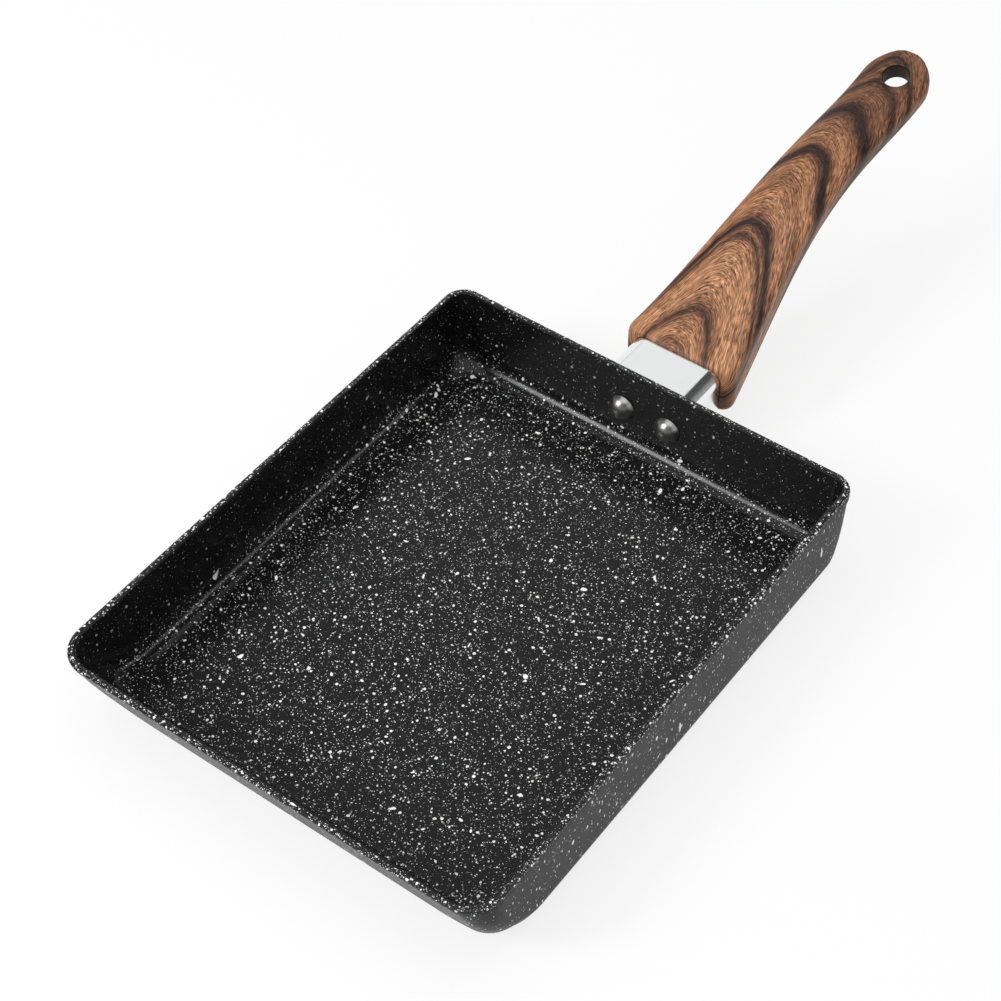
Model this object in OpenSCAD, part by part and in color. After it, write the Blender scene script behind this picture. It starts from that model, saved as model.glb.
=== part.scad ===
// Rectangular omelette pan: a coated aluminium shell with one leaning wall,
// a riveted cast neck and a moulded handle that is screwed on from below.
// The origin is the middle of the resting face, X goes across the pan,
// Y points to the handle and Z is up.

/* [Pan shell] */
// width over the rim, across the handle's line
pan_w = 150; // [130:1:200]
// length over the rim, along the handle's line
pan_l = 189; // [160:1:240]
// height of the rim above the resting face
pan_h = 32; // [24:0.5:45]
// thickness of the walls
wall_t = 2.6; // [2:0.1:4]
// thickness of the floor
floor_t = 3.5; // [2:0.1:5]
// lean of the two sides and the back from upright, degrees
side_lean = 1; // [0:0.1:8]
// lean of the front wall, over which an omelette slides out, degrees
front_lean = 22; // [5:0.5:30]
// corner radius of the rim at the back
back_corner_r = 7.2; // [7:0.1:20]
// corner radius of the rim at the front
front_corner_r = 11.4; // [11:0.1:25]
// corner radius of the floor's outline at the back
back_floor_r = 15; // [8:0.5:25]
// corner radius of the floor's outline at the front
front_floor_r = 32; // [12:0.5:40]
// radius where the walls turn into the floor, outside
base_r = 6.5; // [6:0.5:12]
// radius of the softened edges of the rim
rim_edge_r = 0.8; // [0.3:0.1:1.2]
// height of the thicker band along the rim
rim_band_h = 3; // [2:0.1:5]
// how far the rim band stands out from the wall
rim_lip = 0.3; // [0.1:0.05:0.6]

/* [Turned rings under the floor] */
// number of rings
ring_count = 6; // [0:1:10]
// radius of the smallest ring
ring_first_r = 10; // [6:1:20]
// distance from ring to ring
ring_pitch = 8; // [5:0.5:12]
// width of one ring groove
ring_w = 1.2; // [0.6:0.1:2]
// depth of one ring groove
ring_d = 0.4; // [0.2:0.05:0.8]

/* [Rivets] */
// distance between the two rivets
rivet_gap = 17.2; // [14:0.1:24]
// height of the rivets above the resting face
rivet_z = 16.5; // [12:0.5:22]
// diameter of the shank
rivet_d = 5; // [4:0.1:6]
// diameter of the domed head inside the pan
rivet_head_d = 9.4; // [7:0.1:12]
// height of the domed head
rivet_head_h = 3.5; // [1.5:0.1:4]
// diameter of the formed tail behind the end plate
rivet_tail_d = 7.4; // [6:0.1:9]

/* [Neck and tang] */
// width of the flat on top of the neck
neck_flat_w = 23.2; // [16:0.1:30]
// radius of the neck's two top edges
neck_edge_r = 4.5; // [2:0.1:8]
// height of the neck's top above the resting face
neck_top_z = 30.9; // [24:0.1:34]
// height of the neck's lower edge at the pan
neck_foot_z = 8; // [5:0.5:14]
// height of the neck's lower edge at the handle
neck_heel_z = 15.5; // [14:0.1:18]
// height of the lower edge of the neck's spigot inside the handle
spigot_z = 19; // [18:0.1:22]
// thickness of the neck's walls
neck_t = 2.6; // [2:0.1:4]
// how far the neck goes into the handle
socket_depth = 6; // [4:0.5:8]
// width of the tang
tang_w = 18; // [12:0.5:22]
// thickness of the tang
tang_t = 4.5; // [3:0.1:6]
// how far the tang goes into the handle
tang_reach = 34; // [25:1:45]
// upward slope of the tang, degrees
tang_slope = 18; // [0:0.5:20]

/* [Handle] */
// distance from the rim to the front of the handle
handle_gap = 15; // [10:0.5:25]
// length of the handle along Y
handle_l = 140.7; // [120:0.1:180]
// half width of the grip near its end
grip_half_w = 12.1; // [11:0.1:16]
// diameter of the hanging hole
hang_d = 9; // [6:0.1:12]
// distance of the hanging hole from the end of the handle
hang_in = 10; // [9:0.1:16]
// distance of the screw from the front of the handle
screw_in = 18; // [14:0.5:24]
// diameter of the screw well
well_d = 10.6; // [9:0.1:14]

/* [Screw and washers] */
// thread diameter of the screw
screw_d = 5; // [4:0.1:6]
// diameter of the screw head
screw_head_d = 9; // [7:0.1:11]
// height of the screw head
screw_head_h = 2.6; // [2:0.1:4]
// thickness of the spring washer
spring_t = 1.2; // [0.8:0.1:2]
// thickness of the plain washer
plain_t = 1; // [0.6:0.1:2]

/* [Hidden] */
$fn = 64;
half_w = pan_w / 2;
half_l = pan_l / 2;
inner_r = base_r - 0.5;
handle_y = half_l + handle_gap;
hang_y = handle_y + handle_l - hang_in;
tang_mid_z = 25.4;
well_top = -tang_t / 2 - 3;
clear = 0.15;
corner_steps = 12;
turn_steps = 7;
section_steps = 40;
hang_flare = 0.8;
end_r = 12.4;
end_edge_r = 1.8;
front_round = 3.5;

// Inset of a wall from the rim line at height z, for a wall of lean a that
// turns into a floor at height z0 with radius r, and offset inwards by t.
function wall_inset(z, a, r, z0, t) =
    let (turn_z = z0 + r * (1 - sin(a)))
    let (centre = t / cos(a) + (pan_h - z0 - r) * tan(a) + r / cos(a))
    z >= turn_z ? t / cos(a) + (pan_h - z) * tan(a)
                : centre - sqrt(max(0, r * r - pow(z0 + r - z, 2)));

// One level outline of the shell: a rectangle with round corners.
function level(side, back, front, r_back, r_front, z) =
    let (x = half_w - side)
    let (y1 = half_l - back)
    let (y0 = front - half_l)
    [for (c = [[x, y1, r_back, 0], [-x, y1, r_back, 90], [-x, y0, r_front, 180], [x, y0, r_front, 270]])
        for (k = [0 : corner_steps])
            let (a = c[3] + 90 * k / corner_steps)
            [c[0] - sign(c[0]) * c[2] + c[2] * cos(a), c[1] - sign(c[1]) * c[2] + c[2] * sin(a), z]];

// Corner radius at height z: the walls tighten it a little below the rim and
// the drawn floor corners open it again.
function corner_at(z, rim_r, floor_r, tight) =
    let (u = (pan_h - z) / pan_h)
    rim_r - tight * u + (floor_r - rim_r + tight) * pow(u, 4);

// Level of one wall surface that is offset inwards by t.
function wall_level(z, r, z0, t, lip) =
    let (side = wall_inset(z, side_lean, r, z0, t) + lip)
    let (front = wall_inset(z, front_lean, r, z0, t) + lip)
    level(side, side, front, corner_at(z, back_corner_r, back_floor_r, -0.5) - t,
        corner_at(z, front_corner_r, front_floor_r, 12) - t, z);

// Level of the softened rim: e is the inset from the wall surface.
function rim_level(t, e, z) =
    level(t + e, t + e, t + e, back_corner_r - t - e, front_corner_r - t - e, z);

// Heights from the tangent point of the floor radius down to the floor.
function turn_heights(r, z0) = [for (k = [0 : turn_steps]) z0 + r * (1 - cos(90 * k / turn_steps))];

// Heights of the wall between the floor radius and the rim band.
function wall_heights(low) = [for (k = [1 : 4]) low + (pan_h - rim_band_h - 1 - low) * k / 4];

function reversed(list) = [for (k = [len(list) - 1 : -1 : 0]) list[k]];

// Closed skin through a list of rings that have the same number of points.
module skin(rings) {
    n = len(rings[0]);
    m = len(rings);
    points = [for (ring = rings) for (p = ring) p];
    sides = [for (j = [0 : m - 2]) for (i = [0 : n - 1])
        let (a = j * n + i)
        let (b = j * n + (i + 1) % n)
        each [[a, a + n, b], [b, a + n, b + n]]];
    first = [for (i = [0 : n - 1]) i];
    last = [for (i = [n - 1 : -1 : 0]) (m - 1) * n + i];
    polyhedron(points = points, faces = concat([first], sides, [last]), convexity = 6);
}

// Shell of the pan, from the underside up the outer wall, over the rim and
// down the inner wall to the cooking floor.
module pan_shell() {
    rim_z = pan_h - rim_edge_r;
    band_z = pan_h - rim_band_h;
    outer = [for (z = concat(turn_heights(base_r, 0), wall_heights(base_r)))
        wall_level(z, base_r, 0, 0, rim_lip)];
    inner = [for (z = concat(turn_heights(inner_r, floor_t), wall_heights(inner_r + floor_t)))
        wall_level(z, inner_r, floor_t, wall_t, 0)];
    band = [wall_level(band_z - 0.3, base_r, 0, 0, rim_lip),
        for (z = [band_z, rim_z]) wall_level(z, base_r, 0, 0, 0)];
    outer_rim = [for (a = [45, 90])
        rim_level(0, rim_edge_r * (1 - cos(a)), rim_z + rim_edge_r * sin(a))];
    inner_rim = [for (a = [0, 45])
        rim_level(wall_t - rim_edge_r, rim_edge_r * sin(a), rim_z + rim_edge_r * cos(a))];
    inner_top = [wall_level(rim_z, inner_r, floor_t, wall_t, 0)];
    skin(concat(outer, band, outer_rim, inner_rim, inner_top, reversed(inner)));
}

// Frame of the back wall: origin on its outer face between the rivets, with
// Y square to the leaning wall.
module on_back_wall() {
    translate([0, half_l - (pan_h - rivet_z) * tan(side_lean), rivet_z])
        rotate([-side_lean, 0, 0])
            children();
}

module rivet_places() {
    for (side = [-1, 1])
        translate([side * rivet_gap / 2, 0, 0])
            children();
}

// Pan shell with the two rivet holes and the turned rings under its floor.
module pan_body() {
    color([0.13, 0.13, 0.14])
        difference() {
            pan_shell();
            on_back_wall()
                rivet_places()
                    rotate([90, 0, 0])
                        cylinder(h = 4 * wall_t, d = rivet_d, center = true);
            for (k = [0 : ring_count - 1])
                turned_ring(ring_first_r + k * ring_pitch);
        }
}

// One shallow groove, turned around the middle of the underside.
module turned_ring(r) {
    rotate_extrude($fn = 96)
        translate([r, 0])
            polygon([[-ring_w / 2, -1], [-ring_w / 2, 0], [-ring_w / 6, ring_d],
                [ring_w / 6, ring_d], [ring_w / 2, 0], [ring_w / 2, -1]]);
}

// Domed rivet: head on the cooking side, shank and a formed tail behind.
module rivet() {
    tail_y = neck_t + wall_t;
    tail_h = 1.6;
    dome_r = (pow(rivet_head_d / 2, 2) + pow(rivet_head_h, 2)) / (2 * rivet_head_h);
    translate([0, -wall_t, 0])
        rotate([-90, 0, 0]) {
            cylinder(h = tail_y, d = rivet_d);
            rotate_extrude()
                intersection() {
                    translate([0, dome_r - rivet_head_h])
                        circle(r = dome_r);
                    translate([0, -rivet_head_h])
                        square([rivet_head_d / 2, rivet_head_h]);
                }
            translate([0, 0, tail_y])
                cylinder(h = tail_h, d1 = rivet_tail_d, d2 = rivet_tail_d - 1.6);
        }
}

module rivet_left() {
    color([0.62, 0.62, 0.63])
        on_back_wall()
            translate([-rivet_gap / 2, 0, 0])
                rivet();
}

module rivet_right() {
    color([0.62, 0.62, 0.63])
        on_back_wall()
            translate([rivet_gap / 2, 0, 0])
                rivet();
}

// Section of the neck seen along Y: a flat top, two round edges and upright
// sides. The low edge is drawn at height foot.
module neck_section(grow, foot) {
    r = neck_edge_r + grow;
    w = neck_flat_w / 2;
    top = neck_top_z + grow;
    for (side = [-1, 1])
        translate([side * w, top - r])
            circle(r = r);
    translate([-w, top - 2 * r])
        square([2 * w, 2 * r]);
    translate([-w - r, foot])
        square([2 * (w + r), top - r - foot]);
}

module neck_bar(grow, y0, y1, foot) {
    translate([0, y1, 0])
        rotate([90, 0, 0])
            linear_extrude(height = y1 - y0)
                neck_section(grow, foot);
}

// Half space below the neck's lower edge, which rises from the pan to the
// handle and steps up to the spigot there.
module neck_under() {
    run = handle_y - half_l;
    translate([-40, 0, 0])
        rotate([90, 0, 90])
            linear_extrude(height = 80)
                polygon([[half_l - 10, -5], [half_l - 10, neck_foot_z], [half_l + 3, neck_foot_z],
                    [half_l + run - clear, neck_heel_z], [half_l + run - clear, spigot_z],
                    [half_l + run + 40, spigot_z], [half_l + run + 40, -5]]);
}

// Frame of the tang: origin in its middle at the front of the handle, with Y
// along its slope.
module on_tang() {
    translate([0, handle_y, tang_mid_z])
        rotate([tang_slope, 0, 0])
            children();
}

module tang_bar(grow, y0, y1) {
    on_tang()
        translate([-tang_w / 2 - grow, y0, -tang_t / 2 - grow])
            cube([tang_w + 2 * grow, y1 - y0, tang_t + 2 * grow]);
}

// Everything in front of the back wall, in its leaning frame.
module before_wall() {
    on_back_wall()
        translate([-50, -60, -50])
            cube([100, 60, 100]);
}

// Cast neck: a hollow wedge that is open below, closed by an end plate at
// the pan, with a tang that runs on inside the handle.
module handle_bracket() {
    color([0.86, 0.87, 0.88])
        difference() {
            union() {
                difference() {
                    neck_bar(0, half_l - 6, handle_y + socket_depth, neck_foot_z);
                    neck_bar(-neck_t, half_l + neck_t, handle_y + socket_depth - neck_t, -5);
                    neck_under();
                }
                tang_bar(0, -9, tang_reach);
            }
            before_wall();
            on_back_wall()
                rivet_places()
                    rotate([90, 0, 0])
                        cylinder(h = 40, d = rivet_d, center = true);
            on_tang()
                translate([0, screw_in, 0])
                    cylinder(h = 3 * tang_t, d = screw_d, center = true);
        }
}

// Value at t of a curve drawn by control values, from its Bernstein form.
function choose(n, k) = k == 0 ? 1 : choose(n - 1, k - 1) * n / k;
function curve(c, t) =
    let (n = len(c) - 1)
    [for (k = [0 : n]) choose(n, k) * c[k] * pow(t, k) * pow(1 - t, n - k)] * [for (k = [0 : n]) 1];

function smooth(t) =
    let (u = min(1, max(0, t)))
    u * u * (3 - 2 * u);

// Control values of the handle from its front to its end: height of the
// middle line, half width and half thickness.
mid_curve = [23.4, 29.5, 51.8, 60.8, 44.8, 59.4];
width_curve = [20.7, 14.9, grip_half_w - 3, grip_half_w, grip_half_w];
thick_curve = [9.5, 7.5, 4.1, 3.4];

// Quarter round of radius r over the last sections: 1 where it starts and
// almost 0 at the end of the handle.
function end_factor(y, r) = sqrt(max(0.0001, 1 - pow(max(0, y - handle_l + r) / r, 2)));

// Upright section of the handle at distance y from its front. It is boxy at
// the front, where it hides the neck, and oval in the grip.
function handle_ring(y) =
    let (t = y / handle_l)
    let (n = 6.4 - 2.6 * smooth(t / 0.45))
    let (inset = front_round - sqrt(pow(front_round, 2) - pow(front_round - min(y, front_round), 2)))
    let (w = curve(width_curve, t) * end_factor(y, end_r) - inset)
    let (h = curve(thick_curve, t) - end_edge_r * (1 - end_factor(y, end_edge_r)) - inset * 0.4)
    let (z = curve(mid_curve, t))
    [for (k = [0 : section_steps - 1])
        let (a = 360 * k / section_steps)
        let (x = w * sign(cos(a)) * pow(abs(cos(a)), 2 / n))
        [x, handle_y + y, z + h * sign(sin(a)) * pow(abs(sin(a)), 2 / n)]];

// Distances of the sections: close together at the front edge and the end.
function handle_stations() = concat(
    [for (a = [0 : 18 : 90]) front_round * (1 - cos(a))],
    [for (y = [front_round + 3 : 4 : handle_l - end_r - 1]) y],
    [for (a = [0 : 10 : 80]) handle_l - end_r + end_r * sin(a)],
    [handle_l - 0.05]);

// Moulded handle with a socket for the neck, a slot for the tang, a screw
// well from below and the hanging hole.
module handle() {
    color([0.55, 0.36, 0.22])
        difference() {
            skin([for (y = reversed(handle_stations())) handle_ring(y)]);
            neck_bar(clear, handle_y - 1, handle_y + socket_depth + clear, spigot_z - clear);
            tang_bar(clear, -2, tang_reach + clear);
            on_tang() {
                translate([0, screw_in, -30])
                    cylinder(h = 30, d = screw_d + 0.4);
                translate([0, screw_in, -30 + well_top])
                    cylinder(h = 30, d = well_d);
            }
            hang_hole();
        }
}

// Hanging hole: a round bore square to the rising end of the handle, whose
// two mouths flare out with a soft edge.
module hang_hole() {
    t = (handle_l - hang_in) / handle_l;
    slope = atan((curve(mid_curve, t + 0.01) - curve(mid_curve, t - 0.01)) / (0.02 * handle_l));
    half = curve(thick_curve, t) * cos(slope);
    r = hang_d / 2;
    translate([0, hang_y, curve(mid_curve, t)])
        rotate([slope, 0, 0]) {
            cylinder(h = 4 * half, d = hang_d, center = true);
            for (side = [0, 1])
                mirror([0, 0, side])
                    rotate_extrude()
                        difference() {
                            translate([0, half - hang_flare])
                                square([r + hang_flare, 2 * hang_flare]);
                            translate([r + hang_flare, half - hang_flare])
                                circle(r = hang_flare);
                        }
        }
}

module on_screw() {
    on_tang()
        translate([0, screw_in, well_top])
            children();
}

// Flat washer on the seat of the well.
module plain_washer() {
    color([0.75, 0.76, 0.78])
        on_screw()
            translate([0, 0, -plain_t])
                difference() {
                    cylinder(h = plain_t, d = 9.6);
                    translate([0, 0, -1])
                        cylinder(h = plain_t + 2, d = screw_d + 0.3);
                }
}

// Split lock washer of square wire.
module spring_washer() {
    color([0.45, 0.46, 0.48])
        on_screw()
            translate([0, 0, -plain_t - spring_t])
                difference() {
                    cylinder(h = spring_t, d = 8.8);
                    translate([0, 0, -1])
                        cylinder(h = spring_t + 2, d = screw_d + 0.3);
                    rotate([0, 0, 20])
                        translate([0, -0.4, -1])
                            cube([6, 0.8, spring_t + 2]);
                }
}

// Pan head screw with a cross recess, which ends inside the tang.
module handle_screw() {
    under_head = plain_t + spring_t;
    color([0.7, 0.71, 0.73])
        on_screw()
            translate([0, 0, -under_head])
                difference() {
                    union() {
                        cylinder(h = under_head + 3 + tang_t, d = screw_d);
                        rotate([180, 0, 0])
                            cylinder(h = screw_head_h, d1 = screw_head_d, d2 = screw_head_d - 2);
                    }
                    for (a = [0, 90])
                        rotate([0, 0, a])
                            translate([-2.2, -0.5, -screw_head_h - 1])
                                cube([4.4, 1, 2.6]);
                }
}

pan_body();
handle_bracket();
rivet_left();
rivet_right();
handle();
handle_screw();
spring_washer();
plain_washer();
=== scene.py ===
import bpy
from math import cos, hypot, pi, radians, sin, sqrt
from mathutils import Matrix, Vector


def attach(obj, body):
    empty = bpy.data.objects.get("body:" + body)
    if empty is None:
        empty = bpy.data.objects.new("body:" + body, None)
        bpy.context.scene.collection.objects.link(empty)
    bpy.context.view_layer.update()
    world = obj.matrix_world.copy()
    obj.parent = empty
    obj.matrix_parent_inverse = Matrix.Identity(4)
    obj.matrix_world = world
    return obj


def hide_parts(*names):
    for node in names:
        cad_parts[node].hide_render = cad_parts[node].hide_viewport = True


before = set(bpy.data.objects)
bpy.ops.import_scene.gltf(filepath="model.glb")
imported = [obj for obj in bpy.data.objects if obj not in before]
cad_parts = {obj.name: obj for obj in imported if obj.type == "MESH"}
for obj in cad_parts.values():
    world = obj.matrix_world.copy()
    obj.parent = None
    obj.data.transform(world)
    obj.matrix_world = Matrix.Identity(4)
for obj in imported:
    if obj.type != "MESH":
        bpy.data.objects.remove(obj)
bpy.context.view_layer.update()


# Camera
# A long lens stands high in front of the pan's right front corner and looks
# down at it, as in the photograph, with the picture's middle a little aside.
turn = radians(36.466)
height = radians(47.738)
roll = radians(-0.3347)
distance = 0.686245
aim = Vector((-0.003685, 0.033437, 0.032))
focal_length = 2309.5
picture_width = 1001

bpy.ops.object.select_all(action="DESELECT")
bpy.ops.object.camera_add()
camera = bpy.context.object
camera.name = "camera"
toward = Vector((sin(turn) * cos(height), -cos(turn) * cos(height), sin(height)))
camera.location = aim + toward * distance
camera.rotation_mode = "QUATERNION"
look = Matrix.Rotation(turn, 3, "Z") @ Matrix.Rotation(pi / 2 - height, 3, "X")
camera.rotation_quaternion = (look @ Matrix.Rotation(roll, 3, "Z")).to_quaternion()
camera.data.sensor_width = 36
camera.data.lens = focal_length * camera.data.sensor_width / picture_width
camera.data.shift_x = -0.02496
camera.data.shift_y = -0.00943
camera.data.clip_start = 0.01
bpy.context.scene.camera = camera
bpy.context.scene.view_settings.view_transform = "Standard"


# Floor and studio light
# A white sheet lies under the pan. A large soft lamp hangs over it and a
# smaller one stands in front on the left. What shines mirrors a reflector over
# the back, a low white wall and two cards, with gloom between them.
def node(tree, kind, sockets=None, **settings):
    """Adds a shader node. A socket takes a plain value or another node's output."""
    made = tree.nodes.new("ShaderNode" + kind)
    for key, value in settings.items():
        setattr(made, key, value)
    for key, value in (sockets or {}).items():
        if isinstance(value, bpy.types.NodeSocket):
            tree.links.new(value, made.inputs[key])
        else:
            made.inputs[key].default_value = value
    return made


def maths(tree, operation, *terms, clamp=False):
    """Adds a sum and returns its result."""
    made = tree.nodes.new("ShaderNodeMath")
    made.operation = operation
    made.use_clamp = clamp
    for socket, term in zip(made.inputs, terms):
        if isinstance(term, bpy.types.NodeSocket):
            tree.links.new(term, socket)
        else:
            socket.default_value = term
    return made.outputs[0]


def spread(tree, value, start=0.0, full=1.0, low=0.0, high=1.0, **settings):
    """Turns the range from start to full into the range from low to high."""
    made = node(tree, "MapRange", {"Value": value, "From Min": start, "From Max": full,
                                   "To Min": low, "To Max": high}, **settings)
    return made.outputs[0]


def blend(tree, share, first, second, kind="RGBA"):
    """Mixes two colours, or two plain values where the kind is FLOAT."""
    made = node(tree, "Mix", {"Factor": share, "A": first, "B": second}, data_type=kind)
    return made.outputs["Result"]


def noise(tree, place, scale, detail=2.0, **more):
    """A cloudy pattern, about 1/scale metres from cloud to cloud."""
    return node(tree, "TexNoise", {"Vector": place, "Scale": scale, "Detail": detail, **more})


def new_material(name):
    """A material whose tree holds only its output, with its tree and that output."""
    made = bpy.data.materials.new(name)
    made.use_nodes = True
    made.node_tree.nodes.clear()
    return made, made.node_tree, node(made.node_tree, "OutputMaterial")


def seen(tree):
    """1 for what the camera sees straight, in a reflection or through glass."""
    path = node(tree, "LightPath")
    shown = maths(tree, "MAXIMUM", path.outputs["Is Camera Ray"], path.outputs["Is Glossy Ray"])
    return maths(tree, "MAXIMUM", shown, path.outputs["Is Transmission Ray"])


just_below = -0.0002
bpy.ops.mesh.primitive_plane_add(size=20, location=(0, 0, just_below))
floor = bpy.context.object
floor.name = "floor"
bpy.ops.object.transform_apply(location=True, rotation=True, scale=True)
sheet, tree, out = new_material("white sheet")
place = node(tree, "TexCoord").outputs["Object"]
fibre = noise(tree, place, 900.0).outputs["Fac"]
tone = blend(tree, fibre, (0.87, 0.87, 0.875, 1), (0.9, 0.9, 0.9, 1))
paper = node(tree, "BsdfDiffuse", {"Color": tone})
glow = node(tree, "Emission", {"Strength": 1.0})

# What is seen of the sheet glows for the most part by itself, and wholly where
# it is far away, so that it stays white and ends without an edge.
away = node(tree, "VectorMath", {0: place}, operation="LENGTH").outputs["Value"]
share = spread(tree, away, 0.7, 2.5, 0.8, 1.0, interpolation_type="SMOOTHSTEP")
lift = node(tree, "MixShader", {0: maths(tree, "MULTIPLY", seen(tree), share), 1: paper.outputs[0],
                                2: glow.outputs[0]})
tree.links.new(lift.outputs[0], out.inputs["Surface"])
floor.data.materials.append(sheet)

studio = bpy.data.worlds.new("studio")
studio.use_nodes = True
bpy.context.scene.world = studio
tree = studio.node_tree
tree.nodes.clear()
way = node(tree, "TexCoord").outputs["Generated"]


def facing(direction, start, full):
    """0 to 1 as the way out into the studio turns towards a direction."""
    along = node(tree, "VectorMath", {0: way, 1: Vector(direction).normalized()},
                 operation="DOT_PRODUCT")
    return spread(tree, along.outputs["Value"], start, full, interpolation_type="SMOOTHSTEP")


over_back = facing((-0.30, 0.58, 0.757), 0.953, 0.985)
left_half = facing((-0.949, 0, -0.315), -0.05, 0.05)
reflector = maths(tree, "MULTIPLY", over_back, left_half)
near_floor = facing((0, 0, -1), -0.29, -0.2)
off_right = facing((-1, 0, 0), -0.8, -0.6)
mostly_behind = maths(tree, "MULTIPLY_ADD", facing((0, 1, 0), -0.1, 0.3), 0.65, 0.35)
low_wall = maths(tree, "MULTIPLY", maths(tree, "MULTIPLY", near_floor, off_right), mostly_behind)
left_card = facing((-0.80, 0.54, 0.27), 0.885, 0.93)
right_card = facing((0.85, -0.05, 0.52), 0.88, 0.95)
bright = maths(tree, "MAXIMUM", maths(tree, "MAXIMUM", reflector, low_wall),
               maths(tree, "MAXIMUM", left_card, right_card))
gloom = maths(tree, "MULTIPLY_ADD", facing((0, 0, -1), -0.75, -0.40), 0.2, 0.05)
mirrored_level = maths(tree, "MINIMUM", maths(tree, "MULTIPLY_ADD", bright, 0.9, gloom), 0.94)
mirrored, white, dim = (node(tree, "Background", {"Color": (1, 1, 1, 1), "Strength": level})
                        for level in (mirrored_level, 1.0, 0.45))
path = node(tree, "LightPath")
straight = maths(tree, "MAXIMUM", path.outputs["Is Camera Ray"], path.outputs["Is Transmission Ray"])
back = node(tree, "MixShader", {0: path.outputs["Is Glossy Ray"], 1: dim.outputs[0],
                                2: mirrored.outputs[0]})
both = node(tree, "MixShader", {0: straight, 1: back.outputs[0], 2: white.outputs[0]})
tree.links.new(both.outputs[0], node(tree, "OutputWorld").inputs["Surface"])

middle = Vector((0, 0.05, 0.02))


def lamp(name, place, wide, tall, power):
    """A soft rectangular lamp that points at the middle of the pan."""
    bpy.ops.object.light_add(type="AREA", location=place)
    made = bpy.context.object
    made.name = name
    made.data.shape = "RECTANGLE"
    made.data.size = wide
    made.data.size_y = tall
    made.data.energy = power
    made.rotation_mode = "QUATERNION"
    made.rotation_quaternion = (middle - Vector(place)).to_track_quat("-Z", "Y")
    return made


lamp("softbox above", (0.05, -0.1, 1.75), wide=1.8, tall=1.8, power=16)
lamp("softbox front left", (-0.516, -0.853, 0.79), wide=0.3, tall=0.44, power=8.5)


# Pan
# The body is an aluminium shell with a speckled non-stick coat sprayed over the
# inside, the rim and the outer walls. The foot and its rings are turned bare.
def dressed_copy(node_name, name):
    """A merged copy of a CAD node's mesh, to be finished for the picture."""
    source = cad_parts[node_name]
    bpy.ops.object.select_all(action="DESELECT")
    source.select_set(True)
    bpy.context.view_layer.objects.active = source
    bpy.ops.object.duplicate()
    made = bpy.context.object
    made.name = name
    made.data.materials.clear()
    bpy.ops.mesh.customdata_custom_splitnormals_clear()
    bpy.ops.object.mode_set(mode="EDIT")
    bpy.ops.mesh.select_all(action="SELECT")
    bpy.ops.mesh.remove_doubles(threshold=0.000002)
    bpy.ops.mesh.dissolve_limited(angle_limit=radians(0.4))
    bpy.ops.object.mode_set(mode="OBJECT")
    return made


def soften(piece, angle, width=0):
    """Rounds the edges sharper than an angle by a small width and smooths the rest."""
    if width:
        edge = piece.modifiers.new("edge", "BEVEL")
        edge.width = width
        edge.segments = 2
        edge.limit_method = "ANGLE"
        edge.angle_limit = radians(angle)
        edge.harden_normals = False
        bpy.ops.object.modifier_apply(modifier="edge")
    bpy.ops.object.shade_smooth_by_angle(angle=radians(angle))
    even = piece.modifiers.new("even", "WEIGHTED_NORMAL")
    even.keep_sharp = True
    even.weight = 90
    bpy.ops.object.modifier_apply(modifier="even")


def finish_with(piece, material, chosen=None):
    """Gives a finish to the piece, or to the faces that the test chooses."""
    piece.data.materials.append(material)
    if chosen is None:
        return
    for vertex in piece.data.vertices:
        vertex.select = False
    for edge in piece.data.edges:
        edge.select = False
    for face in piece.data.polygons:
        face.select = chosen(face.center, face.normal)
    bpy.ops.object.mode_set(mode="EDIT")
    piece.active_material_index = len(piece.data.materials) - 1
    bpy.ops.object.material_slot_assign()
    bpy.ops.mesh.select_all(action="DESELECT")
    bpy.ops.object.mode_set(mode="OBJECT")


def surface(tree, out, colour, rough, relief, strength, depth, more):
    """Joins a colour, a roughness and a fine relief to the material's output."""
    bump = node(tree, "Bump", {"Height": relief, "Strength": strength, "Distance": depth})
    finish = node(tree, "BsdfPrincipled", {"Base Color": colour, "Roughness": rough,
                                           "Normal": bump.outputs[0], **more})
    tree.links.new(finish.outputs[0], out.inputs["Surface"])


def bent(tree, place, scale, detail, reach):
    """The place, pushed to and fro by a noise of a scale."""
    bend = noise(tree, place, scale, detail).outputs["Color"]
    push = node(tree, "VectorMath", {0: bend, 1: (0.5, 0.5, 0.5)}, operation="SUBTRACT")
    moved = node(tree, "VectorMath", {0: push.outputs[0], 1: reach, 2: place},
                 operation="MULTIPLY_ADD")
    return moved.outputs[0]


def spray(tree, place, cell, share, largest, wobble, kept):
    """Speckles in cells of a size. Only a share of the cells holds one, each of its own size."""
    crispness = 24.0
    wavy = bent(tree, place, 0.9 / cell, 1.0, (cell * wobble,) * 3)
    cells = node(tree, "TexVoronoi", {"Vector": wavy, "Scale": 1 / cell, "Randomness": 1.0})
    luck = node(tree, "SeparateColor", {"Color": cells.outputs["Color"]})
    empty = maths(tree, "MULTIPLY_ADD", kept, -share, 1.0)
    radius = spread(tree, luck.outputs["Red"], empty, 1.0, 0.0, largest, clamp=False)
    inside = maths(tree, "SUBTRACT", radius, cells.outputs["Distance"])
    return maths(tree, "MULTIPLY", inside, crispness, clamp=True), luck.outputs["Green"]


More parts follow.
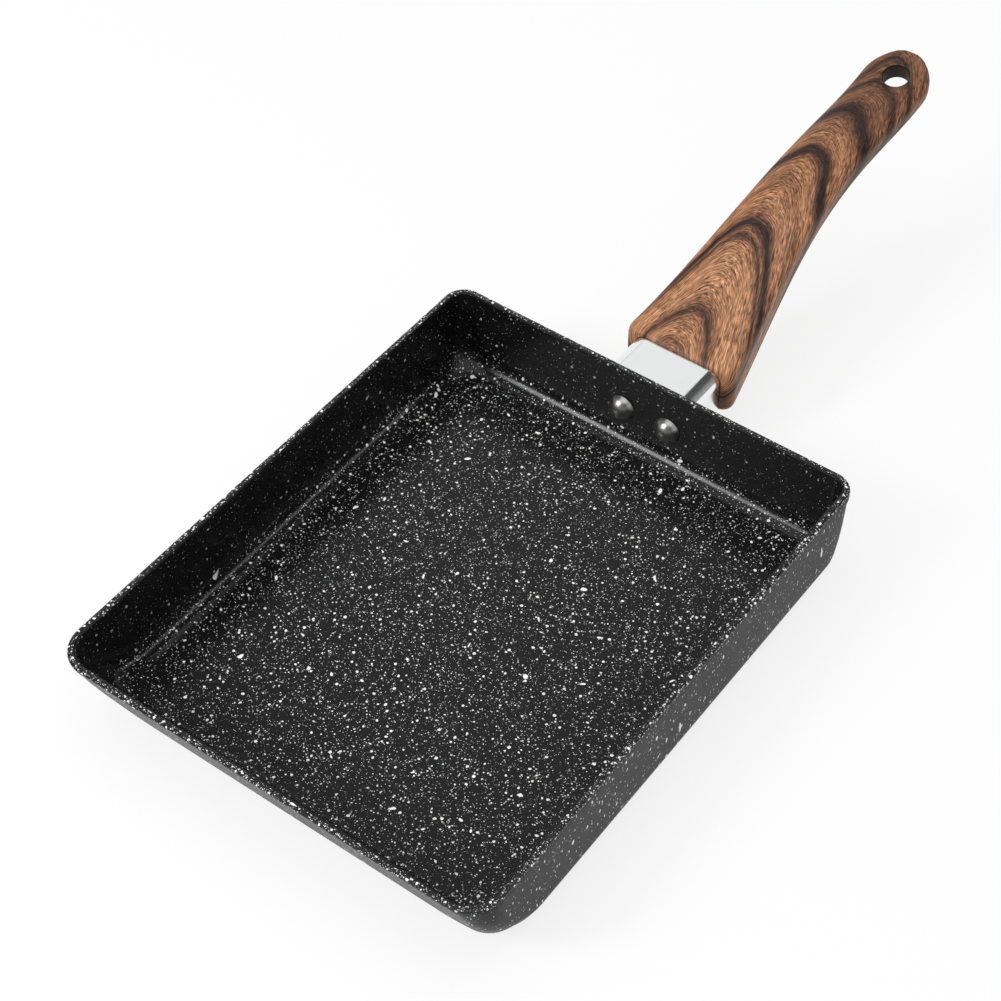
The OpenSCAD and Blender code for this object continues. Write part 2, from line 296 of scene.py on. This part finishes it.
def speckled_coat(name, black, gloss, rough, fine, large, stretch=(1, 1, 1), wall_thinning_and_shade=(1.0, 1.0)):
    """Black non-stick coat with dust, two sizes of flakes and sparse large ones.
    Walls above the inner fillet keep a share of the speckles, which are dimmed there to a share of
    their strength as painted shade."""
    fillet_foot, fillet_top = 0.006, 0.0108
    made, tree, out = new_material(name)
    place = node(tree, "TexCoord").outputs["Object"]
    slanted = node(tree, "Mapping", {"Vector": place, "Rotation": (0.55, 0.4, 0.25),
                                     "Scale": stretch}).outputs[0]
    above = node(tree, "SeparateXYZ", {"Vector": place}).outputs["Z"]
    # From the inner fillet up onto the walls the speckles thin out and are dimmed; the dimming is
    # painted shade for the lesser light on the walls.
    kept, painted_wall_shade = (spread(tree, above, fillet_foot, fillet_top, 1.0, least) for least in wall_thinning_and_shade)
    cover = 0.0
    for cell, share, largest, wobble, faintest in (
            (0.00045, 0.6 * fine, 0.39, 0.15, 0.12),
            (0.0009, 0.48 * fine, 0.35, 0.2, 0.5),
            (0.0016, 0.46 * large, 0.33, 0.5, 0.8),
            (0.0046, 0.5 * large, 0.21, 1.2, 0.95)):
        spot, luck = spray(tree, slanted, cell, share, largest, wobble, kept)
        spot = maths(tree, "MULTIPLY", spot, spread(tree, luck, low=faintest))
        cover = maths(tree, "MAXIMUM", cover, spot)
    # Painted shade: the speckles on the walls are dimmed.
    cover = maths(tree, "MULTIPLY", cover, painted_wall_shade)
    cloud = noise(tree, place, 45.0, 3.0).outputs["Fac"]
    paler_black = tuple(1.6 * part for part in black[:3]) + (1,)
    colour = blend(tree, cover, blend(tree, cloud, black, paler_black), (0.91, 0.91, 0.89, 1))
    orange_peel = noise(tree, place, 1500.0).outputs["Fac"]
    surface(tree, out, colour, spread(tree, cloud, low=rough - 0.06, high=rough + 0.06),
            maths(tree, "MULTIPLY_ADD", cover, 0.7, orange_peel), strength=0.25, depth=0.00006,
            more={"Specular IOR Level": gloss})
    return made


def outward(c, n):
    """Above 0 for a face of the shell that turns away from its middle."""
    return n.x * c.x + n.y * c.y


pan = dressed_copy("pan_body", "coated_pan")
soften(pan, 38)
rim_foot, facing_up = 0.0291, 0.3
# Inside, the walls keep 28% of the speckles, dimmed to 55% of their strength as painted shade.
finish_with(pan, speckled_coat("speckled coat inside", (0.0047, 0.0048, 0.0052, 1), gloss=0.24,
                               rough=0.22, fine=1.0, large=1.0, wall_thinning_and_shade=(0.28, 0.55)))
finish_with(pan, speckled_coat("speckled coat on the rim", (0.008, 0.008, 0.0085, 1), gloss=0.3,
                               rough=0.3, fine=2.3, large=2.6, stretch=(1, 1, 0.6)),
            lambda c, n: c.z > rim_foot and outward(c, n) > -0.02 and n.z > facing_up)
finish_with(pan, speckled_coat("speckled coat outside", (0.0094, 0.0096, 0.0112, 1), gloss=0.085,
                               rough=0.36, fine=0.6, large=0.5, stretch=(1, 1, 0.4)),
            lambda c, n: outward(c, n) > 0.005 and n.z <= facing_up)

turned, tree, out = new_material("turned aluminium")
place = node(tree, "TexCoord").outputs["Object"]
lathe = node(tree, "TexWave", {"Vector": place, "Scale": 700.0, "Distortion": 1.5, "Detail": 2.0},
             wave_type="RINGS", rings_direction="Z")
tool_marks = lathe.outputs["Fac"]
cloud = noise(tree, place, 60.0, 4.0).outputs["Fac"]
surface(tree, out, blend(tree, cloud, (0.55, 0.55, 0.56, 1), (0.72, 0.72, 0.72, 1)),
        spread(tree, tool_marks, low=0.28, high=0.42), tool_marks, strength=0.2, depth=0.00003,
        more={"Metallic": 1.0})
ring_reach, above_rings, above_foot = 0.052, 0.002, 0.00017
finish_with(pan, turned, lambda c, n: n.z < facing_up and c.z < (
    above_rings if hypot(c.x, c.y) < ring_reach else above_foot))
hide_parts("pan_body")
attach(pan, "root")

# A long lamp on the right lights the pan alone, along the inner fillet.
strip = lamp("strip on the right", (0.93, 0.78, 0.65), wide=0.7, tall=0.16, power=2.1)
only_pan = bpy.data.collections.new("lit by the strip")
only_pan.objects.link(pan)
strip.light_linking.receiver_collection = only_pan


# Neck
# One cast and polished aluminium piece: the end plate behind the wall, the
# broad neck and the tang inside the handle. Two rivets hold it to the pan.
def brushed_metal(name, dark, light, rough, grain_scale, stretch=(1, 1, 1)):
    """Bare metal with fine grinding marks, drawn out where it is stretched, and faint stains."""
    made, tree, out = new_material(name)
    place = node(tree, "TexCoord").outputs["Object"]
    drawn = node(tree, "Mapping", {"Vector": place, "Scale": stretch}).outputs[0]
    marks = noise(tree, drawn, grain_scale, 4.0, Roughness=0.7).outputs["Fac"]
    stains = noise(tree, place, 160.0, 3.0).outputs["Fac"]
    stained = maths(tree, "MULTIPLY_ADD", marks, 0.6, maths(tree, "MULTIPLY", stains, 0.4))
    surface(tree, out, blend(tree, stained, dark, light),
            spread(tree, marks, low=rough * 0.75, high=rough * 1.3), marks,
            strength=0.15, depth=0.00005, more={"Metallic": 1.0})
    return made


neck = dressed_copy("handle_bracket", "cast_neck")
soften(neck, 35, 0.00025)
finish_with(neck, brushed_metal("polished aluminium", (0.84, 0.86, 0.87, 1), (0.94, 0.95, 0.94, 1),
                                rough=0.17, grain_scale=900.0, stretch=(1, 0.25, 1)))
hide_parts("handle_bracket")
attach(neck, "root")


# Rivets
# Two solid aluminium rivets with domed heads inside the pan, set by upsetting
# their tails against the end plate of the neck.
rivet_metal = brushed_metal("rivet metal", (0.3, 0.3, 0.3, 1), (0.44, 0.43, 0.42, 1),
                            rough=0.31, grain_scale=700.0)
for side in ("left", "right"):
    rivet = dressed_copy("rivet_" + side, "domed_rivet_" + side)
    soften(rivet, 35)
    finish_with(rivet, rivet_metal)
    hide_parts("rivet_" + side)
    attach(rivet, "root")


# Handle
# Moulded heat-proof plastic with a water-transfer film that shows flat-sawn
# walnut, under a clear satin lacquer. Holes and the socket are left unfilmed.
def curve_at(values, t):
    """Value at t of a smooth curve drawn by control values."""
    while len(values) > 1:
        values = [a + (b - a) * t for a, b in zip(values, values[1:])]
    return values[0]


handle = dressed_copy("handle", "wood_film_handle")
soften(handle, 42)

# Each point keeps its place and its depth below the handle's top, in metres.
# The curves of the handle's middle line and half thickness are in millimetres.
front, length = 0.1095, 0.1407
spine_heights = (23.4, 29.5, 51.8, 60.8, 44.8, 59.4)
half_depths = (9.5, 7.5, 4.1, 3.4)
front_round, front_drop = 3.5, 0.4
trace = handle.data.attributes.new("grain", "FLOAT_VECTOR", "POINT")
for vertex, value in zip(handle.data.vertices, trace.data):
    x, y, z = vertex.co
    t = min(1, max(0, (y - front) / length))
    top = curve_at(spine_heights, t) + curve_at(half_depths, t)
    ahead = front_round - min(front_round, max(0, (y - front) * 1000))
    top -= front_drop * (front_round - sqrt(front_round ** 2 - ahead ** 2))
    value.vector = (x, y, max(0, top / 1000 - z))

# The growth rings show as bows across the top, whose legs run down the sides.
# The bows lie a little to one side, and turn down only below a thin skin.
bow_shift, left_pull = 0.0038, 1.65
skin, side_pull = 0.0014, 2.2
bow_radius, bow_pull = 0.014, 2.7
walnut, tree, out = new_material("walnut film")
grain = node(tree, "Attribute", attribute_name="grain", attribute_type="GEOMETRY").outputs["Vector"]
part = node(tree, "SeparateXYZ", {"Vector": bent(tree, grain, 45.0, 2.0, (0.0022, 0.008, 0.001))})
aside = maths(tree, "ADD", part.outputs["X"], bow_shift)
across = maths(tree, "MAXIMUM", aside, maths(tree, "MULTIPLY", aside, -left_pull))
under_top = maths(tree, "MAXIMUM", maths(tree, "SUBTRACT", part.outputs["Z"], skin), 0.0)
depth = maths(tree, "MULTIPLY", under_top, side_pull)
square = maths(tree, "ADD", maths(tree, "MULTIPLY", across, across),
               maths(tree, "MULTIPLY", depth, depth))
slant = maths(tree, "SQRT", maths(tree, "ADD", square, bow_radius ** 2))
reach = maths(tree, "SUBTRACT", slant, bow_radius)
ring = maths(tree, "MULTIPLY_ADD", reach, bow_pull, part.outputs["Y"])

# Colours of the rings, by their place in millimetres along the handle's top.
tan = (0.46, 0.220, 0.108, 1)
hazel = (0.39, 0.182, 0.09, 1)
brown = (0.27, 0.115, 0.056, 1)
chestnut = (0.23, 0.1, 0.05, 1)
cocoa = (0.16, 0.07, 0.04, 1)
dark = (0.036, 0.017, 0.012, 1)
first_ring, last_ring = 100, 340
stops = node(tree, "ValToRGB", {"Fac": spread(tree, ring, first_ring / 1000, last_ring / 1000)})
ramp = stops.color_ramp
while len(ramp.elements) > 1:
    ramp.elements.remove(ramp.elements[-1])
ramp.elements[0].position = 0.0
ramp.elements[0].color = brown
for at, colour in (
        (111, brown), (117, tan), (123, brown), (125, dark), (128, brown), (134, tan), (147, tan),
        (151, brown), (153, dark), (154.5, brown), (157, dark), (159, dark), (161.5, brown),
        (168, tan), (176, brown), (182, tan), (187, brown), (190.5, dark), (194, dark),
        (196, brown), (203, hazel), (210, brown), (215.5, dark), (219.5, dark), (222, cocoa),
        (228, chestnut), (232, cocoa), (235.5, dark), (239, chestnut), (245, dark), (249, chestnut)):
    ramp.elements.new((at - first_ring) / (last_ring - first_ring)).color = colour
on_leg = spread(tree, reach, 0.0012, 0.005)


def along_grain(scale, detail, stretch):
    """Noise drawn out along the grain, over the bows and down their legs."""
    bow_place = node(tree, "CombineXYZ", {
        "X": ring, "Y": maths(tree, "MULTIPLY", part.outputs["X"], stretch),
        "Z": maths(tree, "MULTIPLY", part.outputs["Z"], stretch)})
    leg_place = node(tree, "CombineXYZ", {
        "X": maths(tree, "MULTIPLY_ADD", part.outputs["Y"], 0.37, maths(tree, "SQRT", square)),
        "Y": maths(tree, "MULTIPLY", part.outputs["Y"], stretch * 0.5)})
    bow, leg = (noise(tree, place.outputs[0], scale, detail, Distortion=0.5).outputs["Fac"]
                for place in (bow_place, leg_place))
    return blend(tree, on_leg, bow, leg, "FLOAT")


fine = along_grain(2300.0, 1.0, 0.3)
pore = spread(tree, fine, 0.34, 0.66, 0.34, 1.5)
line = spread(tree, along_grain(1500.0, 1.0, 0.05), 0.36, 0.54, 0.5, 1.08)
streak = spread(tree, along_grain(650.0, 2.0, 0.25), 0.32, 0.68, 0.7, 1.25)
strength = maths(tree, "MULTIPLY", maths(tree, "MULTIPLY", pore, streak), line)
wood = node(tree, "VectorMath", {0: stops.outputs["Color"], "Scale": strength}, operation="SCALE")
surface(tree, out, wood.outputs[0], spread(tree, fine, low=0.52, high=0.38), fine,
        strength=0.12, depth=0.00005, more={"Specular IOR Level": 0.3})
finish_with(handle, walnut)

moulding, tree, out = new_material("bare moulding")
flow = noise(tree, node(tree, "TexCoord").outputs["Object"], 700.0, 3.0).outputs["Fac"]
surface(tree, out, blend(tree, flow, (0.012, 0.006, 0.004, 1), (0.028, 0.014, 0.009, 1)),
        spread(tree, flow, low=0.4, high=0.6), flow, strength=0.2, depth=0.00005,
        more={"Specular IOR Level": 0.15})

# Each hole has a point on its axis, the axis and the reach of its wall.
hanging_hole = (Vector((0, 0.2402, 0.0556)), Vector((0, -0.2575, 0.9663)), 0.0047)
screw_well = (Vector((0, 0.1277, 0.0277)), Vector((0, -0.3090, 0.9511)), 0.0054)
end_of_wall = 0.006


def uncovered(c, n):
    """True in the hanging hole, in the screw well and in the neck's socket, where no film lies."""
    for point, axis, radius in (hanging_hole, screw_well):
        away = c - point
        along = away.dot(axis)
        if along < end_of_wall and (away - axis * along).length < radius:
            return True
    return 0.1097 < c.y < 0.117 and abs(c.x) < 0.0165 and 0.0186 < c.z < 0.0313


finish_with(handle, moulding, uncovered)
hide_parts("handle")
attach(handle, "root")


# Handle screw and washers
# A zinc-plated pan head screw goes up through a spring washer and a plain
# washer, in the well under the handle, into the tapped tang.
zinc = brushed_metal("zinc plate", (0.5, 0.5, 0.5, 1), (0.68, 0.68, 0.66, 1),
                     rough=0.28, grain_scale=1200.0)
for small in ("handle_screw", "spring_washer", "plain_washer"):
    fitting = dressed_copy(small, "plated_" + small)
    soften(fitting, 35, 0.00012)
    finish_with(fitting, zinc)
    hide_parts(small)
    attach(fitting, "root")
